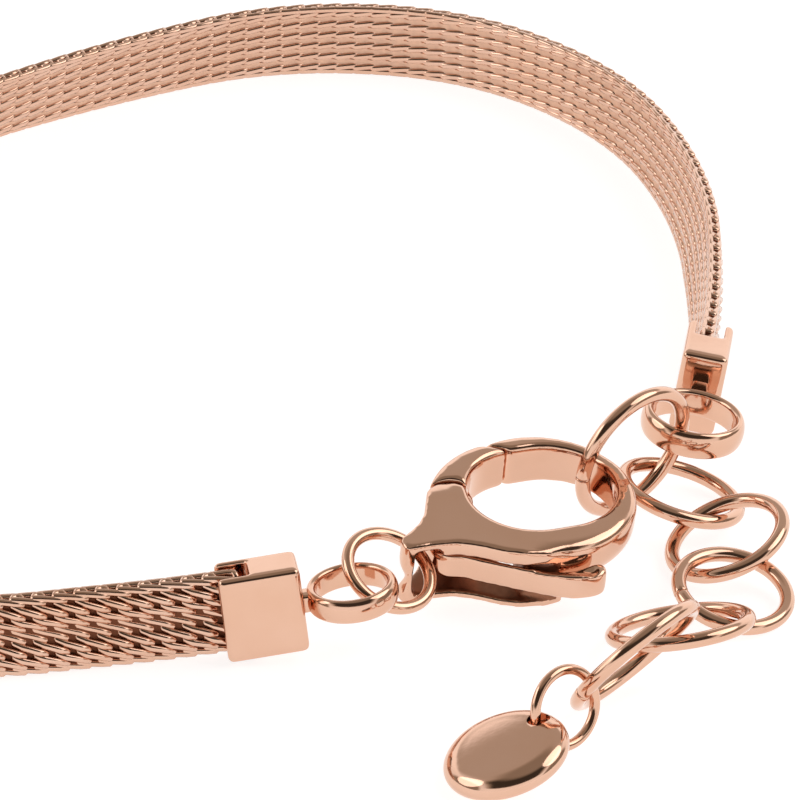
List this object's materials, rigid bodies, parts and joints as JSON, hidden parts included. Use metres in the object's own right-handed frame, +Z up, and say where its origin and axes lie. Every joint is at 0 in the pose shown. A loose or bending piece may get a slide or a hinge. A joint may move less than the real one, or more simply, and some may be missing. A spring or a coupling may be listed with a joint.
{
  "type": "mesh chain bracelet",
  "caption": "woven metal mesh bracelet with slotted end caps, a lobster clasp with a spring lever, an extender chain of round links and a plain disc charm",
  "frame": {"origin": "middle of the bracelet's box in plan, on the surface that it lies on", "axes": "+X to the side that the closure's chain lies on, +Y away from the disc charm, +Z up from the surface"},
  "size_m": [0.0616, 0.078, 0.0076],
  "materials": {
    "woven_rose_metal": "woven wire, polished",
    "polished_rose_metal": "mirror polished"
  },
  "bodies": {
    "bracelet": {"mesh_band": "woven_rose_metal", "clasp_end_cap": "polished_rose_metal", "chain_end_cap": "polished_rose_metal", "clasp_body": "polished_rose_metal", "clasp_pin": "polished_rose_metal", "clasp_jump_ring": "polished_rose_metal", "hook_ring": "polished_rose_metal", "extender_link_1": "polished_rose_metal", "extender_link_2": "polished_rose_metal", "extender_link_3": "polished_rose_metal", "extender_link_4": "polished_rose_metal", "extender_link_5": "polished_rose_metal", "charm_jump_ring": "polished_rose_metal", "charm_disc": "polished_rose_metal"},
    "lever": {"clasp_lever": "polished_rose_metal"}
  },
  "joints": [
    {"name": "lever_hinge", "type": "hinge", "parent": "bracelet", "child": "lever", "pos_m": [0.01365, -0.01818, 0.00309], "axis": [0.0733, -0.1306, 0.9887], "range_deg": [-20, 0], "stiffness_Nm_per_rad": 0.004}
  ]
}
